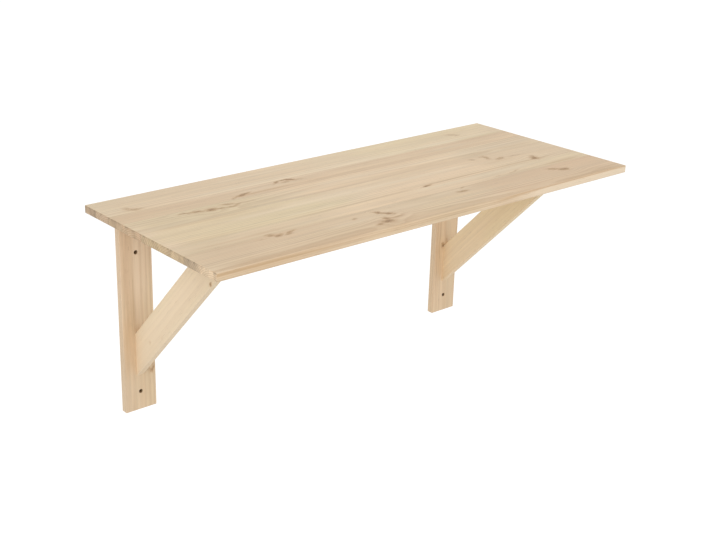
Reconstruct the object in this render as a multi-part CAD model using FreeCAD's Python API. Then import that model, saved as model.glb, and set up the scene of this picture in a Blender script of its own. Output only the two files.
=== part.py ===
import FreeCAD
import Part
import math
import os

# Wall-mounted pine table: a top of edge-glued staves, carried by two fixed brackets. Each bracket is
# an upright board screwed flat to the wall and a diagonal brace, mitred to the upright and the top.
# Millimetres. X runs along the top, Z is up, the wall is the plane y = 0 and the table reaches
# towards -Y. The origin is on the wall, at the centre of the four wall-screw holes.

# The top
top_length = 1200.0
top_depth = 500.0
top_thickness = 18.0
top_edge_radius = 2.0
# Depth of each stave from the wall to the front, as shares of the top's depth
stave_depth_shares = (0.206, 0.111, 0.148, 0.215, 0.097, 0.223)

# The upright boards
upright_width = 82.0
upright_thickness = 18.0
upright_length = 500.0
upright_edge_radius = 1.5
# From the end of the top to the upright's outer edge
upright_inset = 70.0

# The countersunk holes for the wall screws
wall_hole_diameter = 6.0
wall_countersink_diameter = 11.0
# From the upright's top end, and from its foot
upper_hole_drop = 110.0
lower_hole_rise = 46.0

# The diagonal braces
brace_width = 74.0
brace_thickness = 18.0
brace_edge_radius = 1.5
# From the upright's foot to the brace's lowest corner
brace_foot_rise = 88.0
# From the top's front edge to the brace's tip
brace_tip_setback = 86.0

# The dowels that join uprights and braces to the top
dowel_diameter = 8.0
dowel_length = 40.0
dowel_depth_in_top = 12.0
dowel_side_clearance = 0.1
dowel_end_clearance = 1.0
upright_dowel_spacing = 44.0
# Place along the brace's head, from its back end to its tip
head_dowel_share = 0.45

# The screws from behind the upright into the brace's foot
screw_length = 50.0
screw_diameter = 4.5
screw_head_diameter = 8.8
screw_tip_length = 7.0
screw_sinking = 0.3
screw_clearance = 0.05
drive_span = 4.6
drive_width = 1.1
drive_depth = 1.8
# Places up the brace's foot, from its lowest corner
foot_screw_shares = (0.44, 0.82)

# How far a cutting body runs past the face that it opens
cut_overrun = 1.0

# Heights and places worked out from the sizes above
wall_hole_height = (upright_length - upper_hole_drop - lower_hole_rise) / 2
underside_z = wall_hole_height + upper_hole_drop
foot_z = underside_z - upright_length
bracket_offset = top_length / 2 - upright_inset - upright_width / 2
brace_drop = upright_length - brace_foot_rise
brace_reach = top_depth - brace_tip_setback - upright_thickness
brace_angle = math.atan2(brace_drop, brace_reach)
head_length = brace_width / math.sin(brace_angle)
foot_length = brace_width / math.cos(brace_angle)
tip_y = brace_tip_setback - top_depth
brace_foot_z = foot_z + brace_foot_rise

UP = FreeCAD.Vector(0, 0, 1)
FORWARD = FreeCAD.Vector(0, -1, 0)


def revolved(outline, place, direction):
    """A solid of revolution from (radius, distance) points, standing at place along direction."""
    points = [FreeCAD.Vector(radius, 0, distance) for radius, distance in outline]
    wire = Part.makePolygon(points + points[:1])
    solid = Part.Face(wire).revolve(FreeCAD.Vector(0, 0, 0), UP, 360)
    solid.Placement = FreeCAD.Placement(place, FreeCAD.Rotation(UP, direction))
    return solid


def top_panel():
    """The whole top as one board, with every arris rounded."""
    corner = FreeCAD.Vector(-top_length / 2, -top_depth, underside_z)
    panel = Part.makeBox(top_length, top_depth, top_thickness, corner)
    return panel.makeFillet(top_edge_radius, panel.Edges)


def top_staves(holes):
    """The top parted along its glue lines, from the wall to the front."""
    panel = top_panel()
    staves = []
    back_y = 0.0
    for share in stave_depth_shares:
        depth = share * top_depth
        corner = FreeCAD.Vector(-top_length / 2, back_y - depth, underside_z)
        stave = panel.common(Part.makeBox(top_length, depth, top_thickness, corner))
        staves.append(stave.cut(holes).removeSplitter())
        back_y -= depth
    return staves


def wall_screw_hole(x, z):
    """The space of one wall screw: a through hole with a countersink in the front face."""
    hole_radius = wall_hole_diameter / 2
    sink_radius = wall_countersink_diameter / 2
    sink_depth = sink_radius - hole_radius
    outline = [
        (0, -cut_overrun),
        (sink_radius, -cut_overrun),
        (sink_radius, 0),
        (hole_radius, sink_depth),
        (hole_radius, upright_thickness + cut_overrun),
        (0, upright_thickness + cut_overrun),
    ]
    return revolved(outline, FreeCAD.Vector(x, -upright_thickness, z), -FORWARD)


def upright(x):
    """An upright board, eased on every edge but those that meet the top, before its joint holes."""
    corner = FreeCAD.Vector(x - upright_width / 2, -upright_thickness, foot_z)
    board = Part.makeBox(upright_width, upright_thickness, upright_length, corner)
    middle_z = foot_z + upright_length / 2
    eased_edges = [
        edge
        for edge in board.Edges
        if min(vertex.Z for vertex in edge.Vertexes) < middle_z
    ]
    board = board.makeFillet(upright_edge_radius, eased_edges)
    for z in (wall_hole_height, -wall_hole_height):
        board = board.cut(wall_screw_hole(x, z))
    return board


def brace(x):
    """A diagonal brace with a flat foot on the upright and a flat head under the top."""
    corners = [
        (-upright_thickness, brace_foot_z),
        (tip_y, underside_z),
        (tip_y + head_length, underside_z),
        (-upright_thickness, brace_foot_z + foot_length),
    ]
    left = x - brace_thickness / 2
    points = [FreeCAD.Vector(left, y, z) for y, z in corners]
    face = Part.Face(Part.makePolygon(points + points[:1]))
    board = face.extrude(FreeCAD.Vector(brace_thickness, 0, 0))
    sloping_edges = [
        edge
        for edge in board.Edges
        if edge.BoundBox.YLength > brace_thickness / 2 and edge.BoundBox.ZLength > brace_thickness / 2
    ]
    return board.makeFillet(brace_edge_radius, sloping_edges)


def dowel(x, y):
    """A plain round dowel, standing in the top's underside."""
    start = FreeCAD.Vector(x, y, underside_z + dowel_depth_in_top - dowel_length)
    return Part.makeCylinder(dowel_diameter / 2, dowel_length, start, UP)


def dowel_hole(x, y):
    """The hole of one dowel, a little wider than the dowel and longer at both ends."""
    length = dowel_length + 2 * dowel_end_clearance
    start_z = underside_z + dowel_depth_in_top + dowel_end_clearance - length
    radius = dowel_diameter / 2 + dowel_side_clearance
    return Part.makeCylinder(radius, length, FreeCAD.Vector(x, y, start_z), UP)


def brace_screw(x, z):
    """A countersunk screw driven forward from the upright's wall face, with a cross drive."""
    shank_radius = screw_diameter / 2
    head_radius = screw_head_diameter / 2
    outline = [
        (0, screw_sinking),
        (head_radius, screw_sinking),
        (shank_radius, screw_sinking + head_radius - shank_radius),
        (shank_radius, screw_sinking + screw_length - screw_tip_length),
        (0, screw_sinking + screw_length),
    ]
    screw = revolved(outline, FreeCAD.Vector(x, 0, z), FORWARD)
    drive_y = -screw_sinking - drive_depth
    for span_x, span_z in ((drive_span, drive_width), (drive_width, drive_span)):
        corner = FreeCAD.Vector(x - span_x / 2, drive_y, z - span_z / 2)
        screw = screw.cut(Part.makeBox(span_x, drive_depth + cut_overrun, span_z, corner))
    return screw


def brace_screw_hole(x, z):
    """The drilled and countersunk space of one brace screw, open at the wall face."""
    shank_radius = screw_diameter / 2 + screw_clearance
    head_radius = screw_head_diameter / 2 + screw_clearance
    drilled_depth = screw_sinking + screw_length + screw_clearance
    outline = [
        (0, -cut_overrun),
        (head_radius, -cut_overrun),
        (head_radius, screw_sinking),
        (shank_radius, screw_sinking + head_radius - shank_radius),
        (shank_radius, drilled_depth),
        (0, drilled_depth),
    ]
    return revolved(outline, FreeCAD.Vector(x, 0, z), FORWARD)


def bracket(side, x):
    """One bracket centred on x: its pieces by name, and the dowel holes that it needs in the top."""
    upright_y = -upright_thickness / 2
    half_spacing = upright_dowel_spacing / 2
    upright_places = [(x - half_spacing, upright_y), (x + half_spacing, upright_y)]
    head_place = (x, tip_y + head_length * (1 - head_dowel_share))
    screw_heights = [brace_foot_z + foot_length * share for share in foot_screw_shares]

    dowel_holes = [dowel_hole(*place) for place in upright_places + [head_place]]
    screw_holes = [brace_screw_hole(x, z) for z in screw_heights]
    holes = Part.makeCompound(dowel_holes + screw_holes)
    pieces = {
        side + "_upright": upright(x).cut(holes),
        side + "_brace": brace(x).cut(holes),
        side + "_upright_dowels": Part.makeCompound([dowel(*place) for place in upright_places]),
        side + "_brace_dowel": dowel(*head_place),
        side + "_brace_screws": Part.makeCompound([brace_screw(x, z) for z in screw_heights]),
    }
    return pieces, dowel_holes


def table():
    """Every piece of the table by name."""
    pieces = {}
    holes_in_top = []
    for side, x in (("left", -bracket_offset), ("right", bracket_offset)):
        bracket_pieces, dowel_holes = bracket(side, x)
        pieces.update(bracket_pieces)
        holes_in_top += dowel_holes
    staves = top_staves(Part.makeCompound(holes_in_top))
    for number, stave in enumerate(staves, start=1):
        pieces["top_stave_%d" % number] = stave
    return pieces


os.makedirs("parts", exist_ok=True)
for name, shape in table().items():
    shape.exportStep("parts/" + name + ".step")
    print(name, len(shape.Solids), "solids", round(shape.Volume), "mm3", shape.isValid())
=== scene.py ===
"""The wall-mounted pine table: wood finishes, joint fittings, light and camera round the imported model."""

import math
from collections import namedtuple
from dataclasses import dataclass
from functools import reduce

import bmesh
import bpy
from bpy.props import FloatProperty, FloatVectorProperty, IntProperty, PointerProperty
from mathutils import Matrix, Vector


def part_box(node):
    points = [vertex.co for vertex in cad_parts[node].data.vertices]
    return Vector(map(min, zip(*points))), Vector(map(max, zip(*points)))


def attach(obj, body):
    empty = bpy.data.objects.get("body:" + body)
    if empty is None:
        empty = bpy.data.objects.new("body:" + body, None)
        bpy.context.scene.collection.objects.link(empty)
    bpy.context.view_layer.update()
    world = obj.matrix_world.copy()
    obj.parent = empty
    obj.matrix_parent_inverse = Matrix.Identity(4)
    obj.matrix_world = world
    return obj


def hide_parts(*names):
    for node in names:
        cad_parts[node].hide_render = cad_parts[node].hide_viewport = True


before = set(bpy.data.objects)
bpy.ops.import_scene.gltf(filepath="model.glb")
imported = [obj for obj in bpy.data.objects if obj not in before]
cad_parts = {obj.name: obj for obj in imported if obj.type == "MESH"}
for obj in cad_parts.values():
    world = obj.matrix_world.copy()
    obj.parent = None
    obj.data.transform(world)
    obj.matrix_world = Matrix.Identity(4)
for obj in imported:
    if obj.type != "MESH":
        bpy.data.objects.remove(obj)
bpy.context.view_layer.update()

bl_info = {
    "name": "Wall-Mounted Pine Table",
    "version": (1, 0, 0),
    "blender": (4, 5, 0),
    "location": "3D View > Sidebar > Wall Table",
    "description": "Finishes the pine boards, builds the joint fittings and sets up the studio",
    "category": "Object",
}

BODY = "root"
SIDES = ("left", "right")
MM = 0.001
# Points nearer to each other than this are one point, in metres.
TOUCH = 1e-6

# The picture's width in pixels, the camera's sensor width in millimetres, and how near and far it sees.
IMAGE_WIDTH = 716
SENSOR_WIDTH = 36.0
NEAREST = 0.05
FARTHEST = 200.0

# The lamps look at this point. Each has its place and the side of its square.
LAMP_TARGET = (0.0, -0.25, 0.1)
KEY_LAMP = {"place": (-3.2, -3.2, 2.4), "size": 2.6}
FILL_LAMP = {"place": (3.4, -1.6, 2.0), "size": 2.4}
WHITE = (1.0, 1.0, 1.0)
# What the camera sees of the floor: a grey that takes the shadow, and a glow that lifts it to white.
FLOOR_GREY = (0.45, 0.45, 0.45)
FLOOR_GLOW = 0.72


def colour_property(name, description, default):
    """A linear colour without alpha."""
    return FloatVectorProperty(
        name=name, description=description, subtype="COLOR", size=3, min=0.0, max=1.0, default=default
    )


def number_property(name, description, default, **kind):
    """A number, with its subtype, unit or limits where it has them."""
    return FloatProperty(name=name, description=description, default=default, **kind)


def length_property(name, description, default):
    """A length in metres, shown in the scene's unit."""
    return number_property(name, description, default, subtype="DISTANCE", unit="LENGTH", precision=5)


def share_property(name, description, default):
    """A share from 0 to 1."""
    return number_property(name, description, default, subtype="FACTOR", min=0.0, max=1.0)


def angle_property(name, description, degrees):
    """An angle, with its default in degrees."""
    return number_property(name, description, math.radians(degrees), subtype="ANGLE")


class PineSettings(bpy.types.PropertyGroup):
    """Colours and surface of the planed, untreated pine."""

    early_wood: colour_property("Early Wood", "Pale wood that grows in spring", (0.775, 0.632, 0.448))
    late_wood: colour_property("Late Wood", "Darker line that closes a growth ring", (0.560, 0.385, 0.215))
    heart_wood: colour_property("Heartwood", "Pinkish wood near the pith", (0.670, 0.480, 0.320))
    sap_wood: colour_property("Sapwood", "Cream wood below the bark", (0.885, 0.750, 0.570))
    blush: colour_property("Blush", "What pinkish patches keep of each colour", (1.0, 0.965, 0.955))
    straw: colour_property("Straw", "What straw patches keep of each colour", (0.965, 0.990, 0.930))
    knot_halo: colour_property("Knot Halo", "Resin-rich wood round a knot", (0.580, 0.395, 0.225))
    knot_wood: colour_property("Knot", "Body of a knot", (0.390, 0.240, 0.125))
    pitch: colour_property("Pitch", "Resin streaks and the rims of knots", (0.225, 0.135, 0.072))
    # Painted shade: a dark colour that stands in for the shade inside the wall screw holes.
    bore_shade_colour: colour_property("Bored Wood", "Shaded wood in the screw holes", (0.125, 0.062, 0.016))
    ring_contrast: share_property("Ring Contrast", "How strongly the growth rings show", 0.55)
    end_darkness: share_property("End Grain Darkness", "How much darker cut end grain is", 0.20)
    fibre_contrast: share_property("Fibre Contrast", "Brightness of the finest streaks", 0.13)
    roughness: share_property("Roughness", "Roughness of the planed surface", 0.62)
    relief: length_property("Relief", "Height of the late wood above the early wood", 0.00008)


class FittingSettings(bpy.types.PropertyGroup):
    """Sizes and colours of the screws and dowels."""

    thread_pitch: length_property("Thread Pitch", "Travel of the screw thread per turn", 0.0022)
    thread_depth: length_property("Thread Depth", "Height of the thread above the core", 0.0007)
    neck_length: length_property("Plain Neck", "Plain shank below the head", 0.014)
    tip_length: length_property("Tip Length", "Length over which the tip narrows", 0.007)
    drive_span: length_property("Drive Span", "Width over the cross drive", 0.0046)
    drive_width: length_property("Drive Width", "Width of each slot of the cross drive", 0.0011)
    drive_depth: length_property("Drive Depth", "Depth of the cross drive", 0.0018)
    flute_count: IntProperty(
        name="Flutes", description="Grooves round a dowel", min=6, max=32, default=16
    )
    flute_depth: length_property("Flute Depth", "Depth of each groove of a dowel", 0.00025)
    dowel_chamfer: length_property("Dowel Chamfer", "Chamfer at both ends of a dowel", 0.0010)
    zinc: colour_property("Zinc", "Bright zinc plating", (0.640, 0.645, 0.650))
    beech: colour_property("Beech", "Dowel wood", (0.640, 0.430, 0.270))
    beech_fleck: colour_property("Beech Flecks", "Short dark flecks in the beech", (0.36, 0.21, 0.12))


class StudioSettings(bpy.types.PropertyGroup):
    """Floor, lamps and camera."""

    floor_height: length_property("Floor Height", "Height of the floor", -0.45)
    floor_span: length_property("Floor Span", "Width of the floor", 60.0)
    floor_colour: colour_property("Floor Colour", "Pale floor, as it lights the table", (0.85, 0.85, 0.85))
    world_strength: number_property("World Light", "Light from all round", 0.72)
    key_power: number_property("Key Lamp", "Power of the lamp on the left", 80.0, subtype="POWER")
    fill_power: number_property("Fill Lamp", "Power of the lamp on the right", 14.0, subtype="POWER")
    camera_place: FloatVectorProperty(
        name="Camera Place", description="Where the camera stands", subtype="TRANSLATION", size=3,
        default=(-1.785, -2.245, 1.134),
    )
    camera_heading: angle_property("Heading", "Turn of the view from the wall's normal", 38.75)
    camera_dip: angle_property("Dip", "How far the view looks down", 20.46)
    camera_roll: angle_property("Roll", "Turn of the picture", 0.81)
    focal_pixels: number_property("Focal Length", "Focal length in pixels of the picture", 1224.0)
    centre_left: number_property("Centre to the Left", "Pixels from the middle to the lens axis", 50.0)
    centre_up: number_property("Centre Up", "Pixels from the middle up to the lens axis", 20.0)


def arithmetic(operation, swapped=False):
    """A method that adds a Math node for a term and one more operand."""

    def method(term, other):
        operands = (other, term) if swapped else (term, other)
        return term.shader.math(operation, *operands)

    return method


class Term:
    """A number that varies over a surface. Arithmetic with terms adds Math nodes."""

    __add__ = arithmetic("ADD")
    __radd__ = arithmetic("ADD", swapped=True)
    __sub__ = arithmetic("SUBTRACT")
    __rsub__ = arithmetic("SUBTRACT", swapped=True)
    __mul__ = arithmetic("MULTIPLY")
    __rmul__ = arithmetic("MULTIPLY", swapped=True)
    __truediv__ = arithmetic("DIVIDE")
    least = arithmetic("MINIMUM")
    most = arithmetic("MAXIMUM")

    def __init__(self, shader, socket):
        self.shader = shader
        self.socket = socket

    def __neg__(self):
        return 0.0 - self

    def __abs__(self):
        return self.shader.math("ABSOLUTE", self)

    def root(self):
        return self.shader.math("SQRT", self)

    def fraction(self):
        return self.shader.math("FRACT", self)

    def rise(self, low, high):
        """0 up to low, 1 from high, with a smooth step between."""
        inputs = {"Value": self, "From Min": low, "From Max": high}
        node = self.shader.add("ShaderNodeMapRange", inputs, interpolation_type="SMOOTHSTEP")
        return Term(self.shader, node.outputs["Result"])

    def fall(self, low, high):
        """1 up to low, 0 from high, with a smooth step between."""
        return 1.0 - self.rise(low, high)

    def between(self, start, end, outside, inside):
        """1 between start and end. Each limit fades from so far outside it to so far inside it."""
        return self.rise(start - outside, start + inside) * self.fall(end - inside, end + outside)

    def bell(self):
        """1 at zero, falling smoothly to both sides."""
        return self.shader.math("EXPONENT", self * self * -1.0)


class Shader:
    """The node tree of a material or the world, and the ways to add nodes to it."""

    # How far a noise's pattern moves along each axis for each whole seed.
    SEED_STEPS = (3.17, 5.71, 7.93)

    def __init__(self, owner, output="ShaderNodeOutputMaterial"):
        owner.use_nodes = True
        self.owner = owner
        self.tree = owner.node_tree
        self.tree.nodes.clear()
        self.output = self.add(output)

    def add(self, kind, inputs=None, **settings):
        """One node of a kind: its settings first, then the values or links of its sockets."""
        node = self.tree.nodes.new(kind)
        for name, value in settings.items():
            setattr(node, name, value)
        for name, value in (inputs or {}).items():
            self.connect(node.inputs[name], value)
        return node

    def connect(self, socket, value):
        """Links a socket to a term or another socket, or sets it to a value."""
        if isinstance(value, Term):
            value = value.socket
        if isinstance(value, bpy.types.NodeSocket):
            self.tree.links.new(value, socket)
        elif socket.type == "RGBA" and len(value) == 3:
            socket.default_value = (*value, 1.0)
        else:
            socket.default_value = value

    def show(self, node):
        """Makes a node the surface of the material or the world."""
        self.connect(self.output.inputs["Surface"], node.outputs[0])

    def math(self, operation, *operands):
        node = self.add("ShaderNodeMath", dict(enumerate(operands)), operation=operation)
        return Term(self, node.outputs[0])

    def vector_node(self, operation, *operands):
        return self.add("ShaderNodeVectorMath", dict(enumerate(operands)), operation=operation)

    def vector(self, operation, *operands):
        """The vector that a Vector Math node gives."""
        return self.vector_node(operation, *operands).outputs["Vector"]

    def measure(self, operation, *operands):
        """The number that a Vector Math node gives."""
        return Term(self, self.vector_node(operation, *operands).outputs["Value"])

    def split(self, vector):
        """The three parts of a vector."""
        parts = self.add("ShaderNodeSeparateXYZ", {0: vector})
        return [Term(self, socket) for socket in parts.outputs]

    def scaled(self, colour, factor):
        """A colour times a term."""
        node = self.add("ShaderNodeVectorMath", {0: colour, "Scale": factor}, operation="SCALE")
        return node.outputs["Vector"]

    def mix(self, factor, first, second):
        """From the first colour at 0 to the second at 1."""
        inputs = {0: factor, 6: first, 7: second}
        return self.add("ShaderNodeMix", inputs, data_type="RGBA", clamp_factor=True).outputs[2]

    def mapped(self, vector, place, turn, scale=(1.0, 1.0, 1.0)):
        """The vector as it is measured from a place, with turned and scaled axes."""
        inputs = {"Vector": vector, "Location": place, "Rotation": turn, "Scale": scale}
        return self.add("ShaderNodeMapping", inputs, vector_type="TEXTURE").outputs["Vector"]

    def noise(self, vector, seed, scales, detail=2.0, roughness=0.5, output="Fac"):
        """Noise from 0 to 1, with a scale per metre along each axis of the vector."""
        offsets = tuple(seed * step for step in self.SEED_STEPS)
        stretched = self.vector("MULTIPLY_ADD", vector, scales, offsets)
        inputs = {"Vector": stretched, "Scale": 1.0, "Detail": detail, "Roughness": roughness}
        node = self.add("ShaderNodeTexNoise", inputs, noise_dimensions="3D")
        return Term(self, node.outputs[output])

    def bump(self, strength, distance, height):
        """The normal that a relief gives."""
        inputs = {"Strength": strength, "Distance": distance, "Height": height}
        return self.add("ShaderNodeBump", inputs).outputs["Normal"]

    def principled(self, inputs):
        """Shows a Principled shader."""
        self.show(self.add("ShaderNodeBsdfPrincipled", inputs))

    def mix_shaders(self, factor, first, second):
        """From the first shader at 0 to the second at 1."""
        inputs = {0: factor, 1: first.outputs[0], 2: second.outputs[0]}
        return self.add("ShaderNodeMixShader", inputs)


# Part of a knot: its place and half size on the face in millimetres, and its slant in degrees.
Knot = namedtuple("Knot", "along across half_length half_width slant strength", defaults=(0.0, 1.0))
# A line along the grain, in millimetres from the board's middle.
Streak = namedtuple("Streak", "across half_width strength start end", defaults=(-2000.0, 2000.0))
# A stretch of the board with more blush (1) or straw (-1), and how much paler it is. Its start and end
# lie along the grain, and across it for a patch of the end grain.
Patch = namedtuple("Patch", "start end warmth paler", defaults=(0.0,))


@dataclass
class Board:
    """How one board was cut from its log, and what shows on it. Places are in millimetres.

    Knots, streaks and patches are rows of numbers. Streaks are darker than the board, ribbons paler.
    A board without a grain direction runs along the diagonal of its box. The shown side, 1 or -1 on
    the axis through the board, is where the knots have the places that are given. Bores are the
    places along the grain of an upright's wall screw holes.
    """

    node: str
    pith: tuple
    seed: float
    grain: tuple = (1.0, 0.0, 0.0)
    across: tuple = (0.0, 1.0, 0.0)
    ring_width: float = 3.6
    sway: float = 9.0
    tint: tuple = (1.0, 1.0, 1.0)
    end_tint: tuple = (1.0, 1.0, 1.0)
    heart: float = 0.35
    contrast: float = 1.0
    fibre: float = 1.0
    knots: tuple = ()
    streaks: tuple = ()
    ribbons: tuple = ()
    patches: tuple = ()
    end_patches: tuple = ()
    glued: tuple = (False, False)
    sap_edge: bool = False
    bores: tuple = ()
    shown_side: float = 1.0

    def __post_init__(self):
        self.knots = [Knot(*row) for row in self.knots]
        self.streaks = [Streak(*row) for row in self.streaks]
        self.ribbons = [Streak(*row) for row in self.ribbons]
        self.patches = [Patch(*row) for row in self.patches]
        self.end_patches = [Patch(*row) for row in self.end_patches]


UP_THE_WALL = {
    "grain": (0.0, 0.0, 1.0), "across": (1.0, 0.0, 0.0), "shown_side": -1.0, "bores": (140.0, -204.0),
    "sway": 14.0, "heart": 0.5, "contrast": 0.6,
}
# The painted shade round the axis of a wall screw's hole: how far out it reaches inside the hole and at
# its mouth, and how deep the mouth is.
BORE_REACH = 3.19 * MM
MOUTH_REACH = 4.73 * MM
MOUTH_DEPTH = 2.6 * MM

# How much larger a knot's soft outline is than its half size, how far its outline is stirred in
# metres, and how far it moves along and across for each metre of depth.
KNOT_SPREAD = 1.3
KNOT_STIR = (0.026, 0.010, 0.0)
KNOT_LEAN = (0.55, -0.35, 0.0)
# A knot's half size through its board, in metres: so large that the knot runs right through.
RIGHT_THROUGH = 1000.0
# A knot at least this strong pushes the grain aside, as far out as this many half sizes.
PUSHING_KNOT = 0.8
PUSH_REACH = 3.4
# The longest stretch over which a streak fades in or out, in millimetres.
STREAK_FADE = 90.0

# The noises in a board's pine: the step from the board's seed, the scales per metre along the grain,
# across and through, and the detail and roughness where they aren't 2 and 0.5.
PINE_NOISES = {
    "sway": (0, (1.7, 4, 4), 1),
    "quiver": (0.1, (9, 16, 16), 1),
    "ring swell": (0.2, (0.6, 6, 6), 1),
    "knot stir": (0.3, (60, 190, 60), 3, 0.65),
    "sap ripple": (0.7, (6, 10, 10)),
    "broad bands": (1.1, (1.1, 34, 34), 2, 0.6),
    "heart drift": (1.7, (2.2, 9, 9), 1),
    "warm clouds": (1.9, (1.8, 12, 12)),
    "patch drift": (2, (5, 26, 26)),
    "pale clouds": (2.1, (2.6, 16, 16)),
    "fibres": (2.3, (14, 900, 900), 3, 0.6),
    "strands": (2.7, (2.4, 62, 62), 2, 0.6),
    "threads": (2.9, (5, 190, 190), 2, 0.6),
    "resin canals": (3.3, (38, 1500, 1500), 0),
    "knot flecks": (3.7, (180, 420, 180), 3, 0.6),
    "pores": (4.1, (60, 1300, 1300)),
    "end bands": (4.7, (0.5, 58, 26), 4, 0.78),
    "end ripple": (4.9, (30, 90, 90), 1),
    "chatter": (5.1, (420, 12, 12), 1),
}

# A dowel's corners per flute. A screw's shank, the flat of its head and its rim's height as shares of
# the head's radius, its sides, and its rows of corners per turn of the thread.
FLUTE_STEPS = 4
SHANK_SHARE = 4.5 / 8.8
HEAD_FLAT = 0.96
HEAD_RIM = 0.06
SCREW_SIDES = 32
THREAD_ROWS = 8
# Half the width of the thread as a share of its pitch, and what is left of the core at the tip.
THREAD_FLANK = 0.3
TIP_SHARE = 0.04

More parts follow.
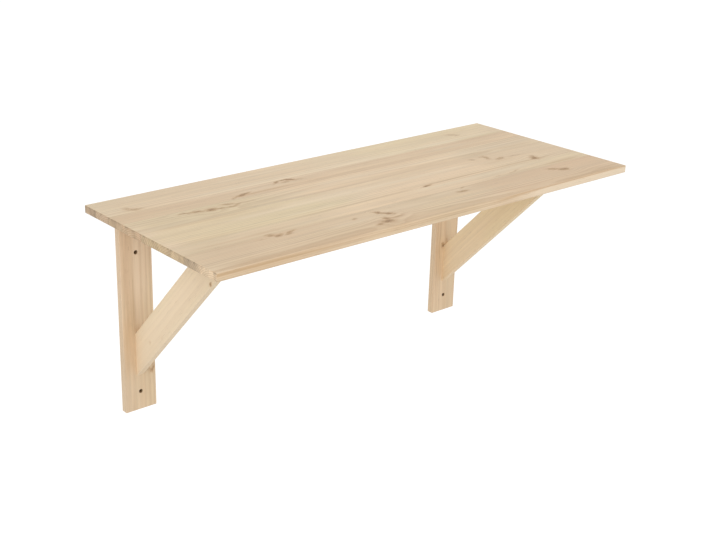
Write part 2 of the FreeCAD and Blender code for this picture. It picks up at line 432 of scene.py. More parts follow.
STAVES = [
    Board(
        "top_stave_1", pith=(-64, -60), seed=1, ring_width=4.6,
        tint=(1.03, 1.035, 1.03), end_tint=(0.87, 0.81, 0.795), heart=0.2, contrast=0.7,
        glued=(False, True),
        knots=[
            (-541, -27, 11, 8, -60, 0.42), (-529, -38, 15, 7, -10, 0.5), (452, 3, 15, 6, -20, 0.4),
            (461, -9, 9, 5, 0, 0.38),
        ],
        streaks=[
            (-24, 5, 0.14, 250), (8, 9, 0.1, -600, -330), (17, 6, 0.12, 0, 600), (-3, 5, 0.12, -600, -430),
            (-46, 4, 0.14, -600, -440),
        ],
        ribbons=[(-41, 8, 0.32, -430, 480), (-31, 8, 0.28, 270, 600), (17, 8, 0.24, -330, -10)],
        patches=[(-560, -60, 0.6), (120, 600, -0.7, 0.06), (-160, 120, 0, 0.04)],
        end_patches=[(-46, -12, 0, 0.07), (2, 28, 0, -0.13)],
    ),
    Board(
        "top_stave_2", pith=(66, 48), seed=2, ring_width=3.6,
        tint=(1.005, 0.975, 0.955), end_tint=(0.96, 0.94, 0.92), heart=0.5, contrast=0.95,
        glued=(True, True),
        knots=[
            (-169, 18.5, 12, 3, 32, 0.8), (-151, 23, 12, 2.6, 0, 0.85), (-134, 19, 15, 5, -32, 0.95),
            (-150, 9, 9, 5, 0, 0.5), (-112, 10, 13, 3, -20, 0.36), (-289, -13, 13, 4.6, 14, 1),
            (-275, -8, 10, 3.4, 12, 0.8), (-313, -21, 8, 3, 22, 0.5),
        ],
        streaks=[
            (-13, 4, 0.62, -330, -120), (-16, 4, 0.3, -180, 120), (-19, 3.4, 0.2, 40, 560),
            (19, 5, 0.22, -60, 600), (2, 1.6, 0.2, -560, -330),
        ],
        ribbons=[(3, 7, 0.36, -320, -90), (1, 7, 0.26, 270, 460), (24, 4, 0.3, -450, 460)],
        patches=[(-60, 320, 0.4, 0.03), (320, 620, 0, 0.03)],
    ),
    Board(
        "top_stave_3", pith=(-18, -66), seed=3, ring_width=4.4,
        tint=(1.01, 1.0, 0.985), end_tint=(1.0, 0.91, 0.87), heart=0.30, contrast=0.72,
        glued=(True, True),
        knots=[
            (-458, 20, 16, 2.6, -8, 0.8), (-430, 14.5, 16, 3.6, -14, 0.85), (-398, 8.5, 10, 6.5, 0, 1),
            (-377, 5, 14, 2.8, -12, 0.7), (-352, 0.5, 12, 3.2, -8, 0.75), (-349, 19, 12, 3.4, -20, 0.72),
            (-332, 6, 16, 3.4, 22, 0.5), (-303, 8, 20, 2.4, 0, 0.36),
        ],
        streaks=[
            (8, 9, 0.12, -480, -270), (-26, 6, 0.1, -150, 300), (-33, 2.6, 0.36, -600, -260),
            (-24, 1.8, 0.28, 340, 420), (-12, 2, 0.24, 400, 510), (-4, 3, 0.26, -600, -470),
            (-24, 4, 0.42, -470, -300), (-21, 3, 0.28, 430, 600), (-18, 5, 0.14, -200, 600),
            (-29, 4, 0.14, 430, 600), (20, 5, 0.15, -470, -280), (32, 3, 0.14, -320, -130),
        ],
        ribbons=[(5, 8, 0.3, -150, 620), (17, 5, 0.24, -150, 200)],
        patches=[(-180, 320, 0.6, 0.07), (-600, -250, -0.6, -0.045)],
    ),
    Board(
        "top_stave_4", pith=(-88, -70), seed=4, ring_width=5.2,
        tint=(1.03, 1.02, 1.01), end_tint=(0.95, 0.91, 0.83), heart=0.2, contrast=0.65,
        glued=(True, True),
        knots=[
            (371, 33, 6.5, 13, -10, 0.62), (366, 43, 9, 5, 0, 0.4), (395, 9, 13, 6, 10, 0.6),
            (328, 39, 10, 2.6, -36, 0.6), (446, 6, 26, 2.6, -6, 0.42), (468, -38, 9, 9, 0, 1),
            (475, -25, 5, 7, -10, 0.75), (90, -50, 11, 3.4, 8, 0.95), (103, -47, 11, 2.6, 8, 0.4),
        ],
        streaks=[
            (-48.6, 2.6, 0.52, -330, 95), (-43.5, 3.6, 0.58, 60, 560), (-2, 1.8, 0.24, -30, 125),
            (-6, 4, 0.34, 290, 460), (-22, 1.6, 0.26, -285, -170), (36, 8, 0.08, -520, 500),
            (-45, 4, 0.24, -600, -420), (49, 4, 0.38, -600, -290), (49, 4, 0.14, 0, 600),
            (-6, 4, 0.12, 420, 600), (-40, 5, 0.12, -600, 300), (-27, 4, 0.12, -600, -440),
        ],
        ribbons=[(17, 7, 0.42, -450, 330), (32, 8, 0.32, -300, 0), (-27, 5, 0.3, -320, -130)],
        patches=[(-600, -150, -1, 0.02), (-90, 330, 0.6, 0.05)],
    ),
    Board(
        "top_stave_5", pith=(54, 42), seed=5, ring_width=4,
        tint=(1.02, 1.01, 0.995), end_tint=(1.03, 0.99, 0.92), heart=0.2, contrast=0.7,
        glued=(True, True),
        knots=[(-395, -21, 11, 3, 0, 0.5), (341, -9, 20, 2.2, 14, 0.4), (284, -13, 12, 2, 0, 0.3)],
        streaks=[
            (-8, 4, 0.42, -600, -310), (-21, 3, 0.24, -600, 90), (10, 3, 0.12, -600, -200),
            (-15, 5, 0.24, 240, 600), (-14, 5, 0.44, 420, 600), (-3, 4, 0.26, -460, -290),
            (-5, 4, 0.14, 440, 600),
        ],
        ribbons=[(14, 6, 0.42, 0, 450), (-22, 4, 0.3, -160, 20)],
        patches=[(-200, 260, 0.5, 0.07), (-600, -480, -0.4, -0.03)],
    ),
    Board(
        "top_stave_6", pith=(-44, -46), seed=6, ring_width=4.4, sway=8,
        tint=(0.985, 0.960, 0.935), end_tint=(1.01, 1.01, 1.02), heart=0.42, contrast=0.85, sap_edge=True,
        glued=(True, False),
        knots=[
            (-396, 52, 10, 5, -20, 0.68), (-380, 43, 9, 4.4, 20, 0.78), (-351, 46, 14, 3.4, 26, 0.72),
            (-358, 38, 9, 3, 0, 0.6), (-424, 43, 22, 2, 0, 0.34), (-192, 30, 8, 4, 20, 0.5),
            (-125, 32, 9, 5, -52, 0.88), (-111, 17, 12, 5, -42, 0.92), (-143, -22, 12, 7, 0, 0.95),
            (-136, -7, 6, 8, 0, 0.8), (-171, -27, 8, 4, 0, 0.75), (-110, -10, 20, 3, 0, 0.5),
            (130, 32, 14, 4.2, 0, 0.66), (119, 35, 7, 3, -30, 0.5), (150, 52, 8, 3, 20, 0.42),
            (430, 29, 13, 6, -36, 0.62), (453, 13, 11, 7, -20, 0.92), (443, 21, 15, 6, -38, 0.5),
        ],
        streaks=[
            (-49, 7, 0.34, -600, 130), (49, 2.4, 0.34, -600, -70), (-28, 5, 0.14, -600, 100),
            (-36, 9, 0.2, 190, 600), (52, 4, 0.12, -60, 300), (-36, 5, 0.24, -600, 190),
            (-47, 5, 0.52, 340, 600), (-38, 5, 0.13, -300, 150), (-26, 6, 0.14, 440, 600),
            (-33, 5, 0.12, -600, -440),
        ],
        ribbons=[
            (53, 5, 0.4, -310, 0), (12, 9, 0.34, -300, -110), (24, 9, 0.28, -150, 60), (45, 9, 0.3, 0, 200),
        ],
        patches=[(200, 620, 1), (-560, -300, 0.2), (-40, 130, -0.5), (-620, -460, 0, -0.03)],
        end_patches=[(-60, 1, 0, 0.28), (9, 60, 0, -0.13)],
    ),
]

UPRIGHTS = [
    Board(
        "left_upright", **UP_THE_WALL, pith=(-16, 64), seed=7, ring_width=6.5,
        tint=(1.0, 0.965, 0.945),
        # Both knots sit just right of the brace's foot: their dark mark is partly a knot and partly painted
        # shadow of the brace.
        knots=[(-154, 32, 7, 3.4, 60, 0.85), (-161, 28, 5, 2.6, 40, 0.45)],
        streaks=[
            (-9, 1.6, 0.3, -70, 120), (-12, 9, 0.16, -60, 250), (12, 2.4, 0.2, -20, 250), (-31, 3, 0.14),
            # The last streak here, wide and 30 mm left of the middle, is partly darker grain and partly
            # painted shade left of the brace's foot.
            (3, 1.6, 0.22, -250, -150), (24, 8, 0.08, -250, 60), (-30, 11, 0.32, -190, 10),
        ],
        ribbons=[(6, 22, 0.4, -10, 230)],
        patches=[(60, 260, 0.8), (-250, -110, -0.2, -0.03)],
    ),
    Board(
        "right_upright", **UP_THE_WALL, pith=(14, 66), seed=8, ring_width=5.8,
        tint=(1.072, 1.045, 1.010),
        knots=[(-55, -13, 6, 4, 0, 0.95), (-57, -14, 11, 5, 0, 0.35)],
        streaks=[(4, 1.8, 0.24, -250, -90), (-26, 2.2, 0.3), (14, 6, 0.1), (-12, 5, 0.14, -60, 120)],
        patches=[(-20, 260, 0.9, 0.03), (-260, -140, 0.5)],
    ),
]

BRACES = [
    Board(
        "left_brace", grain=(), pith=(-20, 80), seed=9, ring_width=5,
        tint=(1.085, 1.075, 1.065), heart=0.05, contrast=0.14, fibre=0.5,
        knots=[(165, -33, 3.4, 2.8, 0, 1), (-166, -8, 5, 4, 0, 0.3), (-106, -24, 5, 4, 0, 0.2)],
        streaks=[(18, 3, 0.05), (-12, 2, 0.05, -100, 300)],
    ),
    Board(
        "right_brace", grain=(), pith=(30, 70), seed=10, ring_width=5.6,
        tint=(1.18, 1.16, 1.10), heart=0.3, contrast=0.18, fibre=0.75,
        streaks=[(-4, 6, 0.12, -120, 200), (22, 4, 0.06)],
        patches=[(-40, 260, -0.5)],
    ),
]


def board_axes(board):
    """The directions along the grain, across the broad face and through the board."""
    if board.grain:
        grain, across = Vector(board.grain), Vector(board.across)
    else:
        low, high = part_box(board.node)
        slope = math.atan2(high[2] - low[2], high[1] - low[1])
        grain = Vector((0.0, -math.cos(slope), math.sin(slope)))
        across = Vector((0.0, math.sin(slope), math.cos(slope)))
    return grain, across, grain.cross(across)


def board_extent(board, axes):
    """The board's middle, and its half sizes along the grain, across and through."""
    corners = [vertex.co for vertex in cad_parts[board.node].data.vertices]
    middle = Vector()
    halves = []
    for axis in axes:
        reaches = [corner.dot(axis) for corner in corners]
        middle += axis * (min(reaches) + max(reaches)) / 2
        halves.append((max(reaches) - min(reaches)) / 2)
    return middle, halves


class BoardShader(Shader):
    """The shader of one board: the place of each point along its grain, and the colour painted so far."""

    def __init__(self, board, pine):
        super().__init__(bpy.data.materials.new("pine_" + board.node))
        self.board = board
        self.pine = pine
        self.colour = pine.early_wood
        axes = board_axes(board)
        middle, self.halves = board_extent(board, axes)
        coordinates = self.add("ShaderNodeTexCoord").outputs
        turn = Matrix(axes).transposed().to_euler("XYZ")
        self.place = self.mapped(coordinates["Object"], middle, turn)
        self.along, self.across, self.through = self.split(self.place)
        self.facing = abs(self.measure("DOT_PRODUCT", coordinates["Normal"], axes[0]))
        self.end = self.facing.rise(0.55, 0.8)

    def grain(self, name, output="Fac"):
        """One of the pine's noises, from 0 to 1."""
        step, *settings = PINE_NOISES[name]
        return self.noise(self.place, self.board.seed + step, *settings, output=output)

    def swing(self, name):
        """One of the pine's noises, from -0.5 to 0.5."""
        return self.grain(name) - 0.5

    def paint(self, share, tone):
        """Mixes a tone into the colour."""
        self.colour = self.mix(share, self.colour, tone)

    def shade(self, factor):
        """Makes the colour paler or darker."""
        self.colour = self.scaled(self.colour, factor)

    def stained(self, stain):
        """The colour times a stain."""
        return self.vector("MULTIPLY", self.colour, stain)


def knots_on(wood):
    """How deep inside a knot each point is, from 0 to 1, and how far the knots push the grain aside."""
    board = wood.board
    stir = wood.grain("knot stir", "Color")
    stirred = wood.vector("MULTIPLY_ADD", stir, KNOT_STIR, wood.place)
    below = wood.through * (-board.shown_side) + wood.halves[2]
    stirred = wood.vector("ADD", stirred, wood.scaled(KNOT_LEAN, below))
    depths = []
    pushes = []
    for knot in board.knots:
        place = (knot.along * MM + KNOT_STIR[0] / 2, knot.across * MM + KNOT_STIR[1] / 2, 0.0)
        turn = (0.0, 0.0, math.radians(knot.slant))
        size = (knot.half_length * KNOT_SPREAD * MM, knot.half_width * KNOT_SPREAD * MM, RIGHT_THROUGH)
        inside = wood.mapped(stirred, place, turn, size)
        distance = wood.measure("LENGTH", inside)
        depths.append(distance.bell() * knot.strength)
        if knot.strength >= PUSHING_KNOT:
            sideways = wood.split(inside)[1]
            pushes.append(sideways * (distance / PUSH_REACH).bell() * (-0.5 * knot.half_width * MM))
    return reduce(Term.most, depths), sum(pushes)


def growth_rings(wood, push):
    """The late wood's lines, from 0 to 1, and the slow sway of the grain."""
    board = wood.board
    shift = wood.swing("sway") * (board.sway * 2 * MM) + wood.swing("quiver") * (1.8 * MM) + push
    from_pith = wood.across + shift - board.pith[0] * MM
    depth = wood.through + shift * 0.6 - board.pith[1] * MM
    radius = (from_pith * from_pith + depth * depth).root()
    phase = (radius / (board.ring_width * MM) + wood.swing("ring swell") * 2.5).fraction()
    return phase.rise(0.25, 0.86) * phase.fall(0.90, 1.0), shift


def streak_sum(wood, shift, streaks):
    """Streaks along the grain, added up. A streak fades where it starts or ends on the board."""
    swayed = wood.across + shift * 0.5
    marks = []
    for streak in streaks:
        mark = ((swayed - streak.across * MM) / (streak.half_width * MM)).bell() * streak.strength
        start, end = streak.start * MM, streak.end * MM
        fade = min(STREAK_FADE, (streak.end - streak.start) / 3) * MM
        if start > -wood.halves[0]:
            mark = mark * wood.along.rise(start, start + fade)
        if end < wood.halves[0]:
            mark = mark * wood.along.fall(end - fade, end)
        marks.append(mark)
    return sum(marks)


def tone_along(wood):
    """Blush (above 0) or straw (below 0) along the board, and its paleness, cloudy where patches end."""
    warmth = wood.swing("warm clouds") * 2.0
    paleness = wood.grain("pale clouds") * 0.10 + 0.95
    if wood.board.patches:
        drifting = wood.along + wood.swing("patch drift") * 0.24
        for patch in wood.board.patches:
            share = drifting.between(patch.start * MM, patch.end * MM, 0.04, 0.06)
            warmth = warmth + share * (0.8 * patch.warmth)
            if patch.paler:
                paleness = paleness + share * patch.paler
    return warmth, paleness


def paint_rings(wood, late):
    """Early and late wood, with heartwood, and pinkish and straw patches."""
    board, pine = wood.board, wood.pine
    broad = wood.grain("broad bands")
    strength = (0.35 + 1.3 * broad) * (pine.ring_contrast * board.contrast) + wood.end * 0.20
    wood.paint(late * strength, pine.late_wood)
    drift = wood.grain("heart drift").rise(0.30, 0.72)
    wood.paint((drift * 0.6 + broad.rise(0.35, 0.75) * 0.4) * board.heart, pine.heart_wood)
    warmth, paleness = tone_along(wood)
    wood.paint(warmth, wood.stained(pine.blush))
    wood.paint(-warmth, wood.stained(pine.straw))
    wood.shade(paleness)


def paint_sapwood_edge(wood):
    """The sapwood along the front stave's lower front edge, and the brown line above it.

    It lies lowest in a hollow round the middle, where the line fades, and climbs at the right.
    """
    half_depth, half_thickness = wood.halves[1:]
    climb = wood.along.rise(0.12, 0.32)
    hollow = wood.along.rise(-0.48, -0.18) * wood.along.fall(0.10, 0.22)
    edge = climb * (half_thickness * 0.45) + half_thickness * 0.30 - hollow * half_thickness * 0.45
    edge = edge + wood.swing("sap ripple") * (2.4 * MM)
    above = wood.through + (wood.across + half_depth) * 0.9 - edge
    below = above.fall(-1.6 * MM, 1.6 * MM)
    wood.paint(below * (climb * 0.78 + 0.04 + hollow * 0.24), wood.pine.sap_wood)
    line = ((above - 2.0 * MM) / (3.2 * MM)).bell() * (0.84 - climb * 0.46 - hollow * 0.74)
    line = line + below * (1.0 - climb).least(1.0 - hollow) * 0.16
    wood.paint(line * (1.0 - wood.end * 0.75), wood.pine.late_wood)


def paint_fibres(wood, late, fibres, threads):
    """The fine streaks, and short dark resin canals in the late wood."""
    contrast = wood.pine.fibre_contrast * 1.6 * wood.board.fibre
    wood.shade((fibres + threads + wood.grain("strands") - 1.5) * contrast + 1.0)
    wood.paint(wood.grain("resin canals").rise(0.74, 0.80) * late * 0.45, wood.pine.pitch)


def paint_knots(wood, deep):
    """The board's knots: a resin-rich halo, the knot's body, and a cracked dark core."""
    fleck = wood.grain("knot flecks")
    deep = deep * (fleck * 0.5 + 0.75)
    wood.paint(deep.rise(0.01, 0.42) * 0.60, wood.pine.knot_halo)
    wood.paint(deep.rise(0.30, 0.80) * 0.72, wood.pine.knot_wood)
    rim = ((deep - 0.42) / 0.08).bell() * fleck.rise(0.42, 0.62) * 0.6
    core = deep.rise(0.60, 0.95) * fleck.rise(0.34, 0.62)
    wood.paint(rim.most(core) * 0.52, wood.pine.pitch)


def glue_lines(wood):
    """The thin dark lines where a stave meets its neighbours."""
    reach = wood.halves[1]
    sides = zip(wood.board.glued, (reach - wood.across, wood.across + reach))
    return sum(distance.fall(0.2 * MM, 0.7 * MM) for glued, distance in sides if glued)


def end_tone(wood):
    """How much paler the end grain is in its patches of sapwood, or darker below 0."""
    across = wood.across + wood.swing("end ripple") * (6.0 * MM)
    fade = 3.0 * MM
    return sum(
        across.between(patch.start * MM, patch.end * MM, fade, fade) * patch.paler
        for patch in wood.board.end_patches
    )


def paint_ends(wood):
    """The bands and pores of the cut ends, darkest along the arris and the upper edge."""
    bands = wood.grain("end bands")
    darkness = wood.end * (wood.grain("pores") * 0.5 + bands.rise(0.28, 0.72) * 1.2 + 0.1)
    arris = ((wood.facing - 0.62) / 0.28).bell()
    brink = wood.through.rise(wood.halves[2] - 5.0 * MM, wood.halves[2] - 2.0 * MM)
    darkness = darkness + arris.most(wood.end * brink) * (bands.rise(0.42, 0.60) * 0.85 + 0.25)
    wood.shade(1.0 - darkness * wood.pine.end_darkness)
    wood.paint(wood.end, wood.stained(wood.board.end_tint))
    if wood.board.end_patches:
        wood.shade(end_tone(wood) * wood.end + 1.0)


def painted_bore_shade(wood):
    """Painted shade inside the screw holes of an upright: the wood is painted dark from the mouth of the
    countersink on.
    """
    mouth = MOUTH_DEPTH - wood.halves[2]
    reach = wood.through.fall(mouth, mouth + 0.2 * MM) * (MOUTH_REACH - BORE_REACH) + BORE_REACH
    insides = []
    for bore in wood.board.bores:
        from_bore = wood.along - bore * MM
        distance = (from_bore * from_bore + wood.across * wood.across).root()
        insides.append((distance - reach).fall(-0.2 * MM, 0.2 * MM))
    return sum(insides)


def pine_board(board, pine):
    """The planed pine of one board, from its own log."""
    wood = BoardShader(board, pine)
    deep, push = knots_on(wood) if board.knots else (None, 0.0)
    late, shift = growth_rings(wood, push)
    paint_rings(wood, late)
    if board.sap_edge:
        paint_sapwood_edge(wood)
    for streaks, tone in ((board.ribbons, pine.sap_wood), (board.streaks, pine.late_wood)):
        if streaks:
            wood.paint(streak_sum(wood, shift, streaks), tone)
    fibres, threads = wood.grain("fibres"), wood.grain("threads")
    paint_fibres(wood, late, fibres, threads)
    if board.knots:
        paint_knots(wood, deep)
    if any(board.glued):
        wood.paint(glue_lines(wood) * 0.5, pine.knot_wood)
    paint_ends(wood)
    wood.colour = wood.stained(board.tint)
    # Paints shade into the uprights' screw holes.
    if board.bores:
        wood.paint(painted_bore_shade(wood) * 0.9, pine.bore_shade_colour)
    height = late * 0.5 + fibres * 0.35 + threads * 0.25 + wood.grain("chatter") * 0.12
    wood.principled({
        "Base Color": wood.colour,
        "Roughness": late * (-0.10) + wood.end * 0.16 + (fibres - 0.5) * 0.18 + pine.roughness,
        "Normal": wood.bump(0.55, pine.relief, height + wood.end * fibres * 0.4),
        "Specular IOR Level": 0.35,
    })
    return wood.owner


def finish_boards(boards, pine):
    """Gives the boards' own solids their pine."""
    for board in boards:
        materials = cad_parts[board.node].data.materials
        materials.clear()
        materials.append(pine_board(board, pine))


def beech_dowel_finish(fitting):
    """Turned beech: short dark flecks along the dowel."""
    shader = Shader(bpy.data.materials.new("beech_dowel"))
    place = shader.add("ShaderNodeTexCoord").outputs["Object"]
    flecks = shader.noise(place, 1.3, (1400.0, 1400.0, 160.0), 1.0).rise(0.60, 0.70)
    tone = shader.noise(place, 2.1, (260.0, 260.0, 18.0))
    colour = shader.scaled(fitting.beech, tone * 0.22 + 0.89)
    shader.principled({
        "Base Color": shader.mix(flecks * 0.35, colour, fitting.beech_fleck),
        "Roughness": tone * 0.15 + 0.55,
        "Normal": shader.bump(0.4, 0.1 * MM, tone),
    })
    return shader.owner


def zinc_screw_finish(fitting):
    """Bright zinc plating, a little cloudy and scuffed."""
    shader = Shader(bpy.data.materials.new("bright_zinc"))
    place = shader.add("ShaderNodeTexCoord").outputs["Object"]
    cloud = shader.noise(place, 1.9, (420.0, 420.0, 420.0), 3.0)
    scuff = shader.noise(place, 2.7, (2600.0, 700.0, 2600.0), 1.0)
    shader.principled({
        "Base Color": shader.scaled(fitting.zinc, cloud * 0.24 + 0.88),
        "Roughness": cloud * 0.22 + scuff * 0.12 + 0.18,
        "Metallic": 1.0,
        "Normal": shader.bump(0.3, 0.03 * MM, scuff),
    })
    return shader.owner


def mesh_of(name, shape):
    """A mesh with the shape of a bmesh, which is freed."""
    mesh = bpy.data.meshes.new(name)
    shape.to_mesh(mesh)
    shape.free()
    return mesh


def placed(name, data):
    """An object in the scene that holds the data."""
    item = bpy.data.objects.new(name, data)
    bpy.context.scene.collection.objects.link(item)
    return item


def build_piece(name, shapes, node, material):
    """Makes one piece of the shapes, in place of one of the model's nodes."""
    whole = bmesh.new()
    for shape in shapes:
        mesh = mesh_of("part", shape)
        whole.from_mesh(mesh)
        bpy.data.meshes.remove(mesh)
    bmesh.ops.recalc_face_normals(whole, faces=whole.faces[:])
    piece = placed(name, mesh_of(name, whole))
    piece.data.materials.append(material)
    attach(piece, BODY)
    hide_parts(node)


def dowel_shape(middle, radius, length, fitting):
    """An upright dowel round its middle, with chamfered ends and flutes that run out at the chamfers."""
    shape = bmesh.new()
    steps = fitting.flute_count * FLUTE_STEPS
    bmesh.ops.create_cone(
        shape, cap_ends=True, segments=steps, radius1=radius, radius2=radius, depth=length
    )
    rims = [edge for edge in shape.edges if abs(edge.verts[0].co.z - edge.verts[1].co.z) < TOUCH]
    bmesh.ops.bevel(
        shape, geom=rims, offset=fitting.dowel_chamfer, offset_type="OFFSET", affect="EDGES", segments=1,
        profile=0.5, material=-1,
    )
    for vertex in shape.verts:
        on_side = vertex.co.xy.length > radius - fitting.dowel_chamfer / 2
        step = round(math.atan2(vertex.co.y, vertex.co.x) / math.tau * steps)
        if on_side and step % FLUTE_STEPS == 0:
            vertex.co.xy *= (radius - fitting.flute_depth) / radius
    bmesh.ops.translate(shape, vec=middle, verts=shape.verts[:])
    return shape


def dowel_middles(node):
    """The middle of each dowel of a node, with the radius and length that they share."""
    low, high = (Vector(corner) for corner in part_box(node))
    radius = (high.y - low.y) / 2
    middle = (low + high) / 2
    reach = (high.x - low.x) / 2 - radius
    shifts = (-reach, reach) if reach > radius else (0.0,)
    return [middle + Vector((shift, 0.0, 0.0)) for shift in shifts], radius, high.z - low.z


def build_dowels(node, fitting, material):
    """The fluted dowels in place of the plain ones of a node."""
    middles, radius, length = dowel_middles(node)
    shapes = [dowel_shape(middle, radius, length, fitting) for middle in middles]
    build_piece(node + "_fluted", shapes, node, material)


def thread_height(turn, travel, pitch):
    """Share of the thread's height, from 0 at its root to 1 at its crest."""
    phase = (travel / pitch - turn) % 1.0
    return max(0.0, 1.0 - abs(phase - 0.5) / THREAD_FLANK)


def screw_profile(radius, length, fitting):
    """Points of half a screw as (radius, travel), from the middle of its head to its tip."""
    shank = radius * SHANK_SHARE
    threaded = length - fitting.neck_length
    rows = int(threaded / (fitting.thread_pitch / THREAD_ROWS))
    return [
        (0.0, 0.0), (radius * HEAD_FLAT, 0.0), (radius, radius * HEAD_RIM), (shank, radius - shank),
        (shank, fitting.neck_length - fitting.thread_pitch),
        *((shank, fitting.neck_length + threaded * row / rows) for row in range(rows)),
        (0.0, length),
    ]


def screw_shape(radius, length, fitting):
    """A screw along Z, from the middle of its head at the origin."""
    shape = bmesh.new()
    profile = screw_profile(radius, length, fitting)
    verts = [shape.verts.new((distance, 0.0, travel)) for distance, travel in profile]
    edges = [shape.edges.new(pair) for pair in zip(verts, verts[1:])]
    bmesh.ops.spin(
        shape, geom=verts + edges, cent=(0, 0, 0), axis=(0, 0, 1), angle=math.tau, steps=SCREW_SIDES,
        use_merge=True,
    )
    core = radius * SHANK_SHARE - fitting.thread_depth
    for vertex in shape.verts:
        travel = vertex.co.z
        distance = math.hypot(vertex.co.x, vertex.co.y)
        if travel < fitting.neck_length - TOUCH or distance < TOUCH:
            continue
        turn = math.atan2(vertex.co.y, vertex.co.x) / math.tau
        entry = min(1.0, (travel - fitting.neck_length) / fitting.thread_pitch)
        taper = max(TIP_SHARE, min(1.0, (length - travel) / fitting.tip_length))
        height = thread_height(turn, travel, fitting.thread_pitch) * fitting.thread_depth * taper ** 0.5
        wanted = (core * taper + height) * entry + distance * (1.0 - entry)
        vertex.co.xy *= min(wanted, distance) / distance
    bmesh.ops.remove_doubles(shape, verts=shape.verts[:], dist=TOUCH)
    bmesh.ops.recalc_face_normals(shape, faces=shape.faces[:])
    return shape


def cross_cutter(fitting):
    """The closed cross at the origin that cuts a screw's drive."""
    shape = bmesh.new()
    reach, half = fitting.drive_span / 2, fitting.drive_width / 2
    outline = []
    for quarter in range(4):
        turn = Matrix.Rotation(quarter * math.pi / 2, 2)
        outline += [turn @ Vector(corner) for corner in ((reach, -half), (reach, half), (half, half))]
    face = shape.faces.new([shape.verts.new((*point, -fitting.drive_depth)) for point in outline])
    made = bmesh.ops.extrude_face_region(shape, geom=[face])["geom"]
    raised = [item for item in made if isinstance(item, bmesh.types.BMVert)]
    bmesh.ops.translate(shape, vec=(0.0, 0.0, 2 * fitting.drive_depth), verts=raised)
    bmesh.ops.recalc_face_normals(shape, faces=shape.faces[:])
    return shape


def finished_screw(radius, length, fitting):
    """The mesh of one screw along Z, with the cross drive cut into its head by a helper object."""
    blank = placed("screw_blank", mesh_of("screw_blank", screw_shape(radius, length, fitting)))
    cutter = placed("drive_cutter", mesh_of("drive_cutter", cross_cutter(fitting)))
    cut = blank.modifiers.new("drive", "BOOLEAN")
    cut.operation = "DIFFERENCE"
    cut.solver = "EXACT"
    cut.object = cutter
    graph = bpy.context.evaluated_depsgraph_get()
    finished = bpy.data.meshes.new_from_object(blank.evaluated_get(graph))
    for helper in (blank, cutter):
        mesh = helper.data
        bpy.data.objects.remove(helper)
        bpy.data.meshes.remove(mesh)
    return finished


def screw_places(node):
    """The middle of each screw head of a node, with the head's radius and the length."""
    low, high = (Vector(corner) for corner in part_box(node))
    radius = (high.x - low.x) / 2
    middle_x = (high.x + low.x) / 2
    heights = (low.z + radius, high.z - radius)
    return [Vector((middle_x, high.y, z)) for z in heights], radius, high.y - low.y


def build_screws(node, fitting, material):
    """The threaded screws in place of the plain ones of a node, pointing away from the wall."""
    places, radius, length = screw_places(node)
    screw = finished_screw(radius, length, fitting)
    turn_forward = Matrix.Rotation(math.pi / 2, 4, "X")
    shapes = []
    for place in places:
        shape = bmesh.new()
        shape.from_mesh(screw)
        bmesh.ops.dissolve_degenerate(shape, dist=TOUCH, edges=shape.edges[:])
        bmesh.ops.transform(shape, matrix=Matrix.Translation(place) @ turn_forward, verts=shape.verts[:])
        shapes.append(shape)
    bpy.data.meshes.remove(screw)
    build_piece(node + "_threaded", shapes, node, material)


def seen_rays(shader):
    """1 for what the camera sees, directly, in a reflection or through glass, and 0 for other light."""
    path = shader.add("ShaderNodeLightPath").outputs
    names = ("Is Camera Ray", "Is Glossy Ray", "Is Transmission Ray")
    return reduce(Term.most, [Term(shader, path[name]) for name in names])


def floor_finish(studio):
    """A pale floor that shows as white, keeps the table's soft shadow, and is clear from below."""
    shader = Shader(bpy.data.materials.new("studio_floor"))
    plain = shader.add("ShaderNodeBsdfDiffuse", {"Color": studio.floor_colour})
    shaded = shader.add("ShaderNodeBsdfDiffuse", {"Color": FLOOR_GREY})
    glow = shader.add("ShaderNodeEmission", {"Color": WHITE, "Strength": FLOOR_GLOW})
    white = shader.add("ShaderNodeAddShader", {0: shaded.outputs[0], 1: glow.outputs[0]})
    upper = shader.mix_shaders(seen_rays(shader), plain, white)
    below = shader.add("ShaderNodeBsdfTransparent")
    underside = shader.add("ShaderNodeNewGeometry").outputs["Backfacing"]
    shader.show(shader.mix_shaders(underside, upper, below))
    return shader.owner


def build_floor(studio):
    """The wide floor below the table."""
    shape = bmesh.new()
    place = Matrix.Translation((0.0, 0.0, studio.floor_height))
    bmesh.ops.create_grid(shape, x_segments=1, y_segments=1, size=studio.floor_span / 2, matrix=place)
    floor = placed("floor", mesh_of("floor", shape))
    floor.data.materials.append(floor_finish(studio))


def build_lamp(name, power, place, size):
    """A square soft lamp that faces the table."""
    data = bpy.data.lights.new(name, "AREA")
    data.shape = "SQUARE"
    data.size = size
    data.energy = power
    lamp = placed(name, data)
    lamp.location = place
    lamp.rotation_mode = "QUATERNION"
    lamp.rotation_quaternion = (Vector(LAMP_TARGET) - Vector(place)).to_track_quat("-Z", "Y")


def build_world(studio):
    """Even light from all round, and a white backdrop behind everything."""
    world = bpy.data.worlds.new("studio")
    bpy.context.scene.world = world
    shader = Shader(world, "ShaderNodeOutputWorld")
    strength = seen_rays(shader) * (1.0 - studio.world_strength) + studio.world_strength
    shader.show(shader.add("ShaderNodeBackground", {"Color": WHITE, "Strength": strength}))


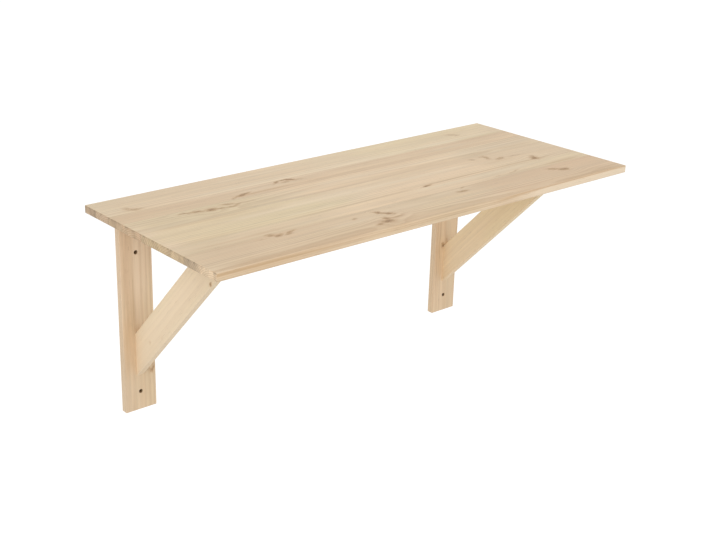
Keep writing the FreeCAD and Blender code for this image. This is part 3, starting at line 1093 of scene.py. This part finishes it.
def build_camera(studio):
    """The camera at the picture's angle, with the shift that its framing needs."""
    data = bpy.data.cameras.new("camera")
    data.sensor_fit = "HORIZONTAL"
    data.sensor_width = SENSOR_WIDTH
    data.lens = studio.focal_pixels / IMAGE_WIDTH * SENSOR_WIDTH
    data.shift_x = studio.centre_left / IMAGE_WIDTH
    data.shift_y = -studio.centre_up / IMAGE_WIDTH
    data.clip_start = NEAREST
    data.clip_end = FARTHEST
    camera = placed("camera", data)
    heading, dip, roll = studio.camera_heading, studio.camera_dip, studio.camera_roll
    level = math.cos(dip)
    forward = Vector((math.sin(heading) * level, math.cos(heading) * level, -math.sin(dip)))
    level_right = Vector((math.cos(heading), -math.sin(heading), 0.0))
    right = level_right * math.cos(roll) + level_right.cross(forward) * math.sin(roll)
    turn = Matrix((right, right.cross(forward), -forward)).transposed()
    camera.matrix_world = Matrix.Translation(studio.camera_place) @ turn.to_4x4()
    bpy.context.scene.camera = camera


class WALLTABLE_OT_top(bpy.types.Operator):
    """Finish the six glued staves of the top in pine"""

    bl_idname = "wall_table.finish_top"
    bl_label = "Finish Top Staves"

    def execute(self, context):
        finish_boards(STAVES, context.scene.wall_table_pine)
        return {"FINISHED"}


class WALLTABLE_OT_uprights(bpy.types.Operator):
    """Finish both wall uprights in pine"""

    bl_idname = "wall_table.finish_uprights"
    bl_label = "Finish Uprights"

    def execute(self, context):
        finish_boards(UPRIGHTS, context.scene.wall_table_pine)
        return {"FINISHED"}


class WALLTABLE_OT_braces(bpy.types.Operator):
    """Finish both diagonal braces in pine"""

    bl_idname = "wall_table.finish_braces"
    bl_label = "Finish Braces"

    def execute(self, context):
        finish_boards(BRACES, context.scene.wall_table_pine)
        return {"FINISHED"}


class WALLTABLE_OT_dowels(bpy.types.Operator):
    """Build the fluted dowels that hold uprights and braces to the top"""

    bl_idname = "wall_table.build_dowels"
    bl_label = "Build Dowels"

    def execute(self, context):
        fitting = context.scene.wall_table_fittings
        material = beech_dowel_finish(fitting)
        for side in SIDES:
            build_dowels(side + "_upright_dowels", fitting, material)
            build_dowels(side + "_brace_dowel", fitting, material)
        return {"FINISHED"}


class WALLTABLE_OT_screws(bpy.types.Operator):
    """Build the threaded screws that hold the braces' feet to the uprights"""

    bl_idname = "wall_table.build_screws"
    bl_label = "Build Brace Screws"

    def execute(self, context):
        fitting = context.scene.wall_table_fittings
        material = zinc_screw_finish(fitting)
        for side in SIDES:
            build_screws(side + "_brace_screws", fitting, material)
        return {"FINISHED"}


class WALLTABLE_OT_studio(bpy.types.Operator):
    """Set up the pale floor, the soft lamps and the camera"""

    bl_idname = "wall_table.build_studio"
    bl_label = "Build Studio"

    def execute(self, context):
        studio = context.scene.wall_table_studio
        context.scene.view_settings.view_transform = "Standard"
        build_floor(studio)
        build_world(studio)
        build_lamp("key_lamp", studio.key_power, **KEY_LAMP)
        build_lamp("fill_lamp", studio.fill_power, **FILL_LAMP)
        build_camera(studio)
        return {"FINISHED"}


class WALLTABLE_PT_panel(bpy.types.Panel):
    """The steps that dress the table"""

    bl_idname = "WALLTABLE_PT_panel"
    bl_label = "Wall Table"
    bl_space_type = "VIEW_3D"
    bl_region_type = "UI"
    bl_category = "Wall Table"

    def draw(self, context):
        for operator in OPERATORS:
            self.layout.operator(operator.bl_idname)


OPERATORS = (
    WALLTABLE_OT_top,
    WALLTABLE_OT_uprights,
    WALLTABLE_OT_braces,
    WALLTABLE_OT_dowels,
    WALLTABLE_OT_screws,
    WALLTABLE_OT_studio,
)
CLASSES = (PineSettings, FittingSettings, StudioSettings, *OPERATORS, WALLTABLE_PT_panel)
GROUPS = {
    "wall_table_pine": PineSettings,
    "wall_table_fittings": FittingSettings,
    "wall_table_studio": StudioSettings,
}


def register():
    for cls in CLASSES:
        bpy.utils.register_class(cls)
    for name, group in GROUPS.items():
        setattr(bpy.types.Scene, name, PointerProperty(type=group))


def unregister():
    for name in GROUPS:
        delattr(bpy.types.Scene, name)
    for cls in reversed(CLASSES):
        bpy.utils.unregister_class(cls)


def plain(box):
    """A box's two corners as plain lists of numbers."""
    return [list(corner) for corner in box]


def main():
    """Dresses the whole table."""
    register()
    bpy.ops.wall_table.finish_top()
    bpy.ops.wall_table.finish_uprights()
    bpy.ops.wall_table.finish_braces()
    bpy.ops.wall_table.build_dowels()
    bpy.ops.wall_table.build_screws()
    bpy.ops.wall_table.build_studio()
    bpy.context.view_layer.update()


if __name__ == "__main__":
    main()
